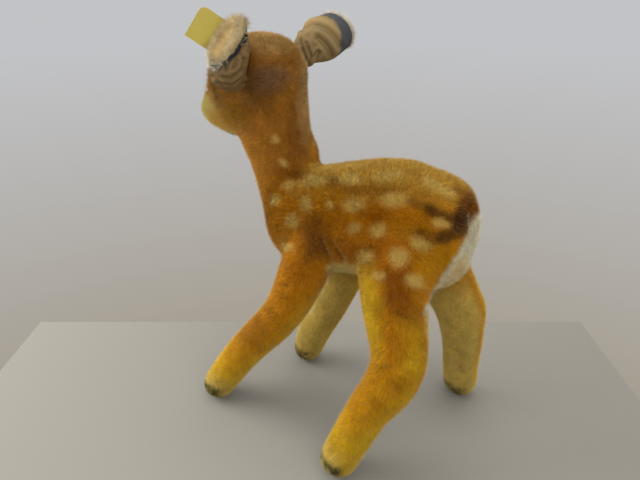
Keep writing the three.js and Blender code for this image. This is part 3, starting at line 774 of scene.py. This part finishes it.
# Ears
joints = {joint["name"]: joint for joint in frame["joints"]}
head_up = np.array(joints["left_ear_flex"]["axis"], float)
HEAD_TURN = math.radians(-9)
head_side = np.array([math.cos(HEAD_TURN), math.sin(HEAD_TURN), 0])
head_side = unit(head_side - head_up * (head_side @ head_up))
head_ahead = np.cross(head_side, head_up)
EAR_SINK, EAR_LEAD = 0.005, 0.35
EAR_ROOT_ANGLE = math.radians(14)
EARS = {
    "left": {
        "sign": 1, "length": 0.043, "radius": 0.0165, "stalk": 0.010,
        "raise": 97, "forward": 25, "opening": 176, "cut": 0.61,
        "rows": [[0, 0.48, 0.3], [0.2, 0.48, 0.4], [0.45, 0.72, 0.74], [0.72, 1, 0.95], [1, 0.98, 0.92]],
    },
    "right": {
        "sign": -1, "length": 0.044, "radius": 0.018, "stalk": 0.014,
        "raise": 16, "forward": -18, "opening": 95, "cut": 0.32,
        "rows": [[0, 0.32, 0.28], [0.2, 0.57, 0.38], [0.45, 0.77, 0.74], [0.72, 1, 0.95], [1, 0.9, 0.92]],
    },
}
BACK_THICK, WALL_GAP, LINING_THICK = 0.0016, 0.0003, 0.0024
# Rows of faces along each wall of a layer, and faces round it
EAR_ROWS, EAR_AROUND = 80, 190


def spline_row(rows, share):
    """An ear's length share, height and depth at a share of its rows, on a smooth line."""
    rows = np.array(rows)
    at = np.clip(share, 0, 1) * (len(rows) - 1)
    low = np.minimum(at.astype(int), len(rows) - 2)
    rows = np.vstack([2 * rows[0] - rows[1], rows, 2 * rows[-1] - rows[-2]])
    t = (at - low)[..., None]
    a, b, c, d = (rows[low + i] for i in range(4))
    return 0.5 * (2 * b + (c - a) * t + (2 * a - 5 * b + 4 * c - d) * t**2 + (3 * b - a - 3 * c + d) * t**3)


def ear_wall(side, share, angle, drawn_in):
    """Points of an ear's wall at shares of its length and angles from its top towards its front."""
    ear = EARS[side]
    up, level = math.sin(math.radians(ear["raise"])), math.cos(math.radians(ear["raise"]))
    forward = math.radians(ear["forward"])
    aside = head_side * ear["sign"]
    out = level * (head_ahead * math.sin(forward) + aside * math.cos(forward)) + up * head_up
    facing = aside * math.cos(EAR_ROOT_ANGLE) + head_up * math.sin(EAR_ROOT_ANGLE)
    root = np.array(joints[f"{side}_ear_flex"]["pos_m"], float)
    lead = unit(facing + EAR_LEAD * out)
    start, bend = root - lead * EAR_SINK, root + lead * ear["stalk"]
    end = bend + out * (ear["length"] - ear["stalk"])
    path = lambda t: (1 - t) ** 2 * start + 2 * t * (1 - t) * bend + t**2 * end
    row = spline_row(ear["rows"], share)
    at = row[..., :1]
    along = unit(2 * (1 - at) * (bend - start) + 2 * at * (end - bend))
    fore = unit(head_ahead - along * (along @ head_ahead)[..., None])
    tall = np.cross(fore, along) * ear["sign"]
    cut_back = ear["length"] * ear["cut"] * share * (1 + np.cos(angle - math.radians(ear["opening"]))) / 2
    reach = unit(path(1) - path(0.5))
    return (path(at) - reach * cut_back[..., None]
            + tall * ((ear["radius"] * row[..., 1] - drawn_in) * np.cos(angle))[..., None]
            + fore * ((ear["radius"] * row[..., 2] - drawn_in) * np.sin(angle))[..., None])


def ear_layer(name, side, outer_in, inner_in, start, floor):
    """A closed layer of an ear: up its outer wall, over the rim and down its inner wall to a floor.
    Also gives each point's share of the length, its angle and how far it lies through the layer."""
    steps = 2 * EAR_ROWS + 3
    bm, (turn, walk) = unit_grid(EAR_AROUND, steps)
    angle, step = turn * 2 * math.pi, np.rint(walk * steps)
    outer_share = start + (1 - start) * (step - 1) / EAR_ROWS
    inner_share = floor + (1 - floor) * (steps - 1 - step) / EAR_ROWS
    through = (step > EAR_ROWS + 1).astype(float)
    share = np.clip(np.where(through, inner_share, outer_share), min(start, floor), 1)
    points = ear_wall(side, share, angle, outer_in + (inner_in - outer_in) * through)
    # Each end closes on one point.
    for end, ring in ((0, 1), (steps, steps - 1)):
        points[step == end] = points[step == ring].mean(0)
    keep = bm.verts.layers.float_vector.new("walk")
    for vertex, point, walked in zip(bm.verts, points, np.stack([share, angle, through], 1)):
        vertex.co = point
        vertex[keep] = walked
    bmesh.ops.remove_doubles(bm, verts=bm.verts, dist=1e-7)
    bmesh.ops.recalc_face_normals(bm, faces=bm.faces)
    mesh = mesh_from(bm, name)
    mesh.shade_smooth()
    return mesh, *values_of(mesh.attributes["walk"].data, "vector", 3).T


# The velvet's folds, in the photograph's frame: points, half width in pixels and depth in metres.
FOLDS = {
    "right": [
        ([(303, 29), (311, 25), (320, 26), (328, 30), (335, 37), (340, 46)], 2.6, 0.0022),
        ([(318, 38), (324, 43), (329, 50), (332, 58)], 2.4, 0.0018),
        ([(301, 40), (303, 50), (307, 62)], 1.6, 0.0012),
        ([(306, 43), (310, 54), (314, 66)], 1.6, 0.0012),
        ([(310, 62), (315, 57), (318, 52)], 1.8, 0.0026),
    ],
    "left": [
        ([(213, 70), (220, 77), (231, 79), (242, 70), (245, 60)], 2, 0.0014),
        ([(213, 76), (222, 84), (233, 85), (244, 77), (248, 66)], 2, 0.0014),
        ([(217, 83), (226, 89), (236, 89), (246, 82)], 1.8, 0.001),
        ([(237, 40), (233, 50), (236, 60), (234, 68)], 2, 0.0012),
        ([(243, 44), (241, 54), (245, 63)], 1.8, 0.0012),
        ([(226, 56), (228, 64), (226, 71)], 1.8, 0.001),
    ],
}
# The fold of each ear that catches the light, and its half width
LIGHT_FOLDS = {
    "right": [(305, 24), (318, 20), (328, 24), (336, 33), (339, 44)],
    "left": [(232, 60), (238, 50)],
}
LIGHT_FOLD_HALF = 4.5
# Colours of the velvet and the lining, where the lining's floor lies and how long its pile is
VELVET = {"left": dye(126, 102, 66), "right": dye(146, 124, 84)}
# Painted shade in the velvet's folds
VELVET_FOLD_PAINTED_SHADE = {"left": dye(84, 66, 42), "right": dye(88, 70, 46)}
# A painted highlight on the velvet's fold that faces the light
VELVET_PAINTED_HIGHLIGHT = {"left": dye(150, 120, 74), "right": dye(170, 143, 96)}
RIM_DARK = {"left": dye(46, 46, 52), "right": dye(84, 84, 86)}
LINING = {"left": dye(214, 180, 120), "right": dye(214, 190, 142)}
LINING_RIM = {"left": dye(214, 200, 170), "right": dye(206, 196, 178)}
LINING_FLOOR = {"left": 0.92, "right": 0.45}
LINING_PILE = {"left": 0.0074, "right": 0.0054}

velvet = tinted_material("ear velvet", 0.85, 1400, 0.8, 0.0002, Specular_IOR_Level=0.05)
lining_cloth = tinted_material("ear lining cloth", 0.9, 900, 0.8, 0.0004)

# The tag's place: it is riveted inside the left ear and points out of it.
RIVET_SHARE, RIVET_ANGLE, TAG_TURN, SLOPE = 0.84, math.radians(57), math.radians(50), 0.02
foot, beyond, round_it = ear_wall("left", np.array([RIVET_SHARE, RIVET_SHARE + SLOPE, RIVET_SHARE]),
                                  RIVET_ANGLE + np.array([0, 0, SLOPE]), 0)
tag_out = unit(np.cross(round_it - foot, beyond - foot))
tag_along = unit(beyond - foot)
tag_along = tag_along * math.cos(TAG_TURN) - np.cross(tag_out, tag_along) * math.sin(TAG_TURN)
tag_across = np.cross(tag_out, tag_along)
TAG_WIDE, TAG_LONG, TAG_TAB, TAG_CORNER = 0.025, 0.028, 0.004, 0.005
TAG_LIFT, TAG_THICK = 0.0006, 0.0005


def clear_of_tag(hairs):
    """Lays the tips of hairs that would pass through the tag along it."""
    away = hairs[:, 2] - foot
    run, wide, out = away @ tag_along, away @ tag_across, away @ tag_out
    through = (run > -2 * TAG_TAB) & (abs(wide) < TAG_WIDE / 2 + 0.001) & (out > -TAG_LIFT)
    hairs[through, 2] -= (out[through, None] + TAG_LIFT) * tag_out


# The gathers of the right ear's stalk: share of the length, reach and how far the wall is drawn in
GATHERS = [(0.36, 0.07, 0.003), (0.17, 0.1, -0.004)]
# Folds: how deep they sink, how much the wall swells beside them, and how much painted shade darkens them;
# pleats likewise
FOLD_DEPTH, FOLD_SWELL, PAINTED_SHADE_IN_FOLDS = 0.85, 0.55, 0.42
PLEATS, PLEAT_TWIST, PLEAT_DEPTH, PAINTED_SHADE_IN_PLEATS = 9, 4, 0.0005, 0.1
# Where the dark band at the velvet's edge starts and how much later at the ear's top, as length shares
BAND = {"left": (0.93, 0), "right": (0.82, 0.07)}
BAND_SOFT, BAND_RAGGED = (-0.03, 0.035), 0.03
FLUFF_SHARE, FLUFF_WIDTH, FLUFF_JITTER = 2.2, 0.00034, 0.28


def gathered(side, share, angle):
    """How far the right ear's wall is drawn in below where its stalk is gathered, in metres."""
    if side == "left":
        return np.zeros(len(share))
    below = ease(-np.cos(angle), 0.2, 0.9)
    return below * sum(depth * np.exp(-((share - at) / reach) ** 2) for at, reach, depth in GATHERS)


def make_velvet(side):
    back, share, angle, through = ear_layer(f"{side}_ear_velvet", side, 0, BACK_THICK, 0, 1 / 8)
    points, normals = points_of(back), normals_of(back)
    across, down = in_photo(points)
    toward = ease(toward_camera(normals), 0, 0.3)
    sunk, shade = np.zeros(len(points)), np.zeros(len(points))
    for line, half, depth in FOLDS[side]:
        far = on_stripe(across, down, line) / half
        dip = toward * np.exp(-far**2) * (1 - through)
        swell = toward * np.exp(-((far - 2.1) / 1.1) ** 2) * (1 - through)
        sunk += FOLD_DEPTH * depth * (dip - FOLD_SWELL * swell)
        # Painted shade follows the dips of the folds
        shade = np.maximum(shade, dip)
    pleats = np.cos(PLEATS * angle + PLEAT_TWIST * share) * (1 - ease(share, 0.1, 0.5))
    sunk += PLEAT_DEPTH * (1 - pleats) * (1 - through) * (1 - 0.6 * toward)
    sunk += gathered(side, share, angle)
    set_points(back, points - normals * sunk[:, None])

    start, later_on_top = BAND[side]
    ragged = BAND_RAGGED * smooth_noise(points, 0.003, 2)[:, 0]
    band = ease(share + ragged - start - later_on_top * np.cos(angle), *BAND_SOFT)
    # A painted highlight on the fold that faces the light
    painted_highlight = np.exp(-(on_stripe(across, down, LIGHT_FOLDS[side]) / LIGHT_FOLD_HALF) ** 2) * toward
    # Painted shade in the folds and pleats
    fold_and_pleat_painted_shade = PAINTED_SHADE_IN_FOLDS * shade + PAINTED_SHADE_IN_PLEATS * (1 - pleats) * (1 - ease(share, 0.2, 0.45))
    colours = blend_in(VELVET[side], 0.9 * painted_highlight, VELVET_PAINTED_HIGHLIGHT[side])
    colours = blend_in(colours, fold_and_pleat_painted_shade, VELVET_FOLD_PAINTED_SHADE[side])
    set_tint(back, blend_in(colours, band, RIM_DARK[side]))
    new_piece(back.name, back, velvet, f"{side}_ear", "ear_velvet", f"{side}_ear_back")


def make_lining(side):
    drawn = BACK_THICK + WALL_GAP
    lining, share, angle, through = ear_layer(f"{side}_ear_lining_cloth", side, drawn, drawn + LINING_THICK,
                                              1 / 4, LINING_FLOOR[side])
    points, normals = points_of(lining), normals_of(lining)
    points = points - normals * (gathered(side, share, angle) * (1 - 2 * through))[:, None]
    set_points(lining, points)
    # The way out of the ear, square to its rim
    rim = points[share > 0.98]
    middle = rim.mean(0)
    opening = np.linalg.svd(rim - middle, full_matrices=False)[2][2]
    opening = opening * np.sign(opening @ (middle - points.mean(0)))
    radial = unit(points - middle - ((points - middle) @ opening)[:, None] * opening)
    # Where the rim is cut back furthest, the pile hangs out over it.
    low = ease(np.cos(angle - math.radians(EARS[side]["opening"])), 0.3, 0.9) * ease(share, 0.9, 0.98)
    pale = np.maximum(low, 0.4 * ease(share, 0.9, 1)) if side == "left" else ease(share, 0.85, 1)
    colours = blend_in(LINING[side], pale, LINING_RIM[side])
    # Painted shade darkens the lining's ground cloth, as under its pile
    set_tint(lining, colours * GROUND_PAINTED_SHADE)
    new_piece(lining.name, lining, lining_cloth, f"{side}_ear", "ear_lining", f"{side}_ear_lining")

    lie_out = opening + 1.4 * low[:, None] * radial + 0.3 * smooth_noise(points, 0.006, 3)
    length, lean = LINING_PILE[side] * (1 - 0.25 * low), 0.7 + 0.5 * low
    inside = np.maximum(through, ease(share, 0.96, 0.99))
    hairs, ends, facing, _ = grow(lining, colours, lie_out, FLUFF_SHARE * PER_MM2, length, FLUFF_WIDTH, lean,
                                  FLUFF_JITTER, density=inside)
    if side == "left":
        clear_of_tag(hairs)
    new_pile(f"{side}_ear_lining_pile", f"{side}_ear", "ear_lining", hairs, ends, facing)


for side in EARS:
    make_velvet(side)
    make_lining(side)

# Tail
TAIL_VOXEL, TAIL_SMOOTHING, TAIL_PILE_DEPTH = 0.0012, 6, 0.0012
# How thin the tail is made, and how much painted shade darkens its ground cloth under the pile
TAIL_THIN, TAIL_GROUND_PAINTED_SHADE = 0.55, 0.6
# Where its white starts below and at its side, as rows in the photograph's frame, and how soft its edge is
UNDER_ROWS, WHITE_ROWS, TAIL_WHITE_SOFT = (206, 216), (203, 214), (-6, 3)
TAIL_PILE, TAIL_SHARE, TAIL_LEAN, TAIL_JITTER = 0.0042, 1.4, math.radians(60), 0.25

tail_skin = one_skin("tail_skin", ["tail"], TAIL_VOXEL, TAIL_SMOOTHING, TAIL_PILE_DEPTH)
points, normals = points_of(tail_skin), normals_of(tail_skin)
tail_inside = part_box("tail")[0].y
points[:, Y] = tail_inside + TAIL_THIN * (points[:, Y] - tail_inside)
set_points(tail_skin, points)
across, down, _ = mirrored(points, normals)
under = ease(-normals[:, Y], 0.2, 0.7) * ease(down, *UNDER_ROWS)
pale = ease(down, *WHITE_ROWS) * ease(across - np.interp(down, *WHITE_EDGE), *TAIL_WHITE_SOFT)
colours = blend_in(UMBER, 0.9 * np.maximum(under, pale), WHITE)
# Painted shade darkens the tail's ground cloth, as under its pile
set_tint(tail_skin, colours * TAIL_GROUND_PAINTED_SHADE)
new_piece("tail_skin", tail_skin, plush_ground, "tail", "tail_plush", "tail")
# The pile hangs down the tail and spreads at its sides, and is lit much as the rump's behind it.
lie = np.array([0, 0.15, -1]) + 0.3 * smooth_noise(points, 0.006, 7)
lie[:, X] += 60 * (points[:, X] - points[:, X].mean())
hairs, ends, facing, _ = grow(tail_skin, colours, lie, TAIL_SHARE * PER_MM2, TAIL_PILE, PILE_WIDTH,
                              TAIL_LEAN, TAIL_JITTER)
facing = unit(0.4 * facing + np.array([0.3, 0.8, 0.1]))
new_pile("tail_pile", "tail", "tail_plush", hairs, ends, facing)


# Eyes, nose, rivet and tag
def refined(name, node, *modifiers):
    """A smoother copy of a CAD node, in its place."""
    mesh = with_modifiers(merged_copy(name, [node]), name, *modifiers)
    mesh.shade_smooth()
    return mesh


glass = mottled_material("brown glass", 0.06, 240, 2, dye(24, 12, 8), dye(84, 44, 18),
                         Coat_Weight=1.0, Coat_Roughness=0.03, IOR=1.52)
thread = mottled_material("black thread", 0.5, 1600, 3, dye(18, 15, 14), dye(58, 50, 46),
                          stretch=(1, 1, 0.15), bump=(0.5, 0.0002), Sheen_Weight=0.2)
brass = mottled_material("worn brass", 0.32, 700, 5, dye(140, 112, 60), dye(206, 178, 112),
                         bump=(0.2, 0.0001), Metallic=1.0)
tag_cloth = mottled_material("yellow tag cloth", 0.75, 2600, 3, dye(186, 166, 66), dye(208, 190, 92),
                             bump=(0.4, 0.00015), Sheen_Weight=0.1)
wood_wool = mottled_material("wood wool", 0.95, 500, 6, dye(150, 116, 66), dye(222, 196, 140),
                             stretch=(1, 1, 0.3), bump=(0.7, 0.001))
steel = mottled_material("drawn wire", 0.35, 900, 3, dye(120, 120, 120), dye(176, 176, 176),
                         stretch=(1, 1, 0.1), Metallic=1.0)

ROUNDED = ("SUBSURF", {"levels": 2, "render_levels": 2})
for side in EARS:
    eye = refined(f"{side}_eye_glass", f"{side}_eye", ROUNDED)
    new_piece(eye.name, eye, glass, "fawn", "eye_glass", f"{side}_eye")

STITCH, STITCH_HIGH, NOSE_VOXEL = 0.0011, 0.00035, 0.0004
nose = refined("nose_thread", "nose_stitching", ("REMESH", {"mode": "VOXEL", "voxel_size": NOSE_VOXEL}),
               ("SMOOTH", {"factor": 0.5, "iterations": 4}))
points, normals = points_of(nose), normals_of(nose)
across_nose = (points - points.mean(0)) @ head_side
ridge = np.abs(np.cos(across_nose * math.pi / STITCH))
set_points(nose, points + normals * (STITCH_HIGH * ridge)[:, None])
new_piece("nose_thread", nose, thread, "fawn", "thread", "nose_stitching")

rivet = refined("ear_rivet_brass", "ear_rivet", ROUNDED)
new_piece("ear_rivet_brass", rivet, brass, "left_ear", "rivet", "ear_rivet")

# The tag's outline is a grid laid out along it, with a narrow tab under the rivet and one round corner.
# It is cupped as the ear is at its foot, and curls a little at its free end.
CUPPED_TO, CUPPED_FULL = 0.016, 0.002
TAG_CURL, TAG_WAVE, TAG_FACES = (0.0002, 0.01), (0.0004, 0.006), (60, 44)
bm, (along, over) = unit_grid(*TAG_FACES)
mesh = mesh_from(bm, "ear_tag_cloth")
run = -TAG_TAB + along * (TAG_LONG + TAG_TAB)
half = np.interp(run, [-TAG_TAB, 0, TAG_TAB, TAG_LONG], [TAG_TAB, TAG_TAB, TAG_WIDE / 2, TAG_WIDE / 2])
corner = TAG_CORNER - np.sqrt(np.maximum(TAG_CORNER**2 - np.maximum(run - TAG_LONG + TAG_CORNER, 0) ** 2, 0))
wide = -half + over * (2 * half - corner)
cupped = wide**2 / (2 * EARS["left"]["radius"]) * ease(run, CUPPED_TO, CUPPED_FULL)
curled = TAG_CURL[0] * (run / TAG_CURL[1]) ** 2
waved = TAG_WAVE[0] * np.sin(run / TAG_WAVE[1]) * wide / TAG_WIDE
lifted = TAG_LIFT + TAG_THICK / 2 + cupped + curled + waved
set_points(mesh, foot + tag_along * run[:, None] + tag_across * wide[:, None] + tag_out * lifted[:, None])
tag = with_modifiers(mesh, "ear_tag_cloth", ("SOLIDIFY", {"thickness": TAG_THICK, "offset": 0}))
tag_piece = new_piece("ear_tag_cloth", tag, tag_cloth, "tag", "tag_cloth", "ear_tag")

# What lies inside
for names, material in ((STUFFINGS, wood_wool), (WIRES, steel)):
    for name in names:
        nodes[name].data.materials.clear()
        nodes[name].data.materials.append(material)

# Floor, room and lamps
# The floor's middle lies ahead of the camera and a little to its left.
FLOOR_AHEAD, FLOOR_RIGHT = 0.15, -0.012
FLOOR_DEEP, FLOOR_WIDE, FLOOR_THICK = 0.7, 0.662, 0.03
floor_middle = Vector((eye_point.x, eye_point.y, 0)) + view_level * FLOOR_AHEAD + view_right * FLOOR_RIGHT
bm = bmesh.new()
bmesh.ops.create_cube(bm, size=1)
bmesh.ops.scale(bm, vec=(FLOOR_DEEP, FLOOR_WIDE, FLOOR_THICK), verts=bm.verts)
bmesh.ops.rotate(bm, cent=(0, 0, 0), matrix=Matrix.Rotation(VIEW_TURN, 3, "Z"), verts=bm.verts)
bmesh.ops.translate(bm, vec=floor_middle - Vector((0, 0, FLOOR_THICK / 2)), verts=bm.verts)
floor = in_scene("floor", mesh_from(bm, "floor"))
floor.data.materials.append(new_material("pale floor", Base_Color=(*dye(152, 147, 136), 1), Roughness=0.75,
                                         Specular_IOR_Level=0.2)[0])

# The room's wall is darker and warmer towards the table: how far down it changes, as a slope
WALL_LOW, WALL_HIGH = -0.62, -0.1
world = bpy.data.worlds.new("room")
bpy.context.scene.world = world
world.use_nodes = True
tree = world.node_tree
direction = add_node(tree, "TexCoord").outputs["Generated"]
slope = add_node(tree, "SeparateXYZ", Vector=direction).outputs["Z"]
height = add_node(tree, "MapRange", Value=slope, From_Min=WALL_LOW, From_Max=WALL_HIGH).outputs["Result"]
wall = two_tones(tree, height, dye(164, 156, 142), dye(194, 195, 198), 0, 1)
feed(tree.nodes["Background"], Color=wall)

# Lamps: metres to the camera's right, ahead and up from the toy's middle, size and watts
LAMPS = {
    "window": (-1.1, 0.15, 0.5, 1.1, 14),
    "ceiling": (0.15, 0, 1.35, 1.4, 8),
    "room_light": (0.3, -1.1, 0.5, 1.4, 6),
}
toy_middle = Vector((0, 0, 0.16))
for name, (right, ahead, up, size, watts) in LAMPS.items():
    data = bpy.data.lights.new(name, "AREA")
    data.shape, data.size, data.energy = "DISK", size, watts
    lamp = in_scene(name, data)
    away = view_right * right + view_level * ahead + Vector((0, 0, up))
    lamp.location = toy_middle + away
    lamp.rotation_euler = (-away).to_track_quat("-Z", "Y").to_euler()
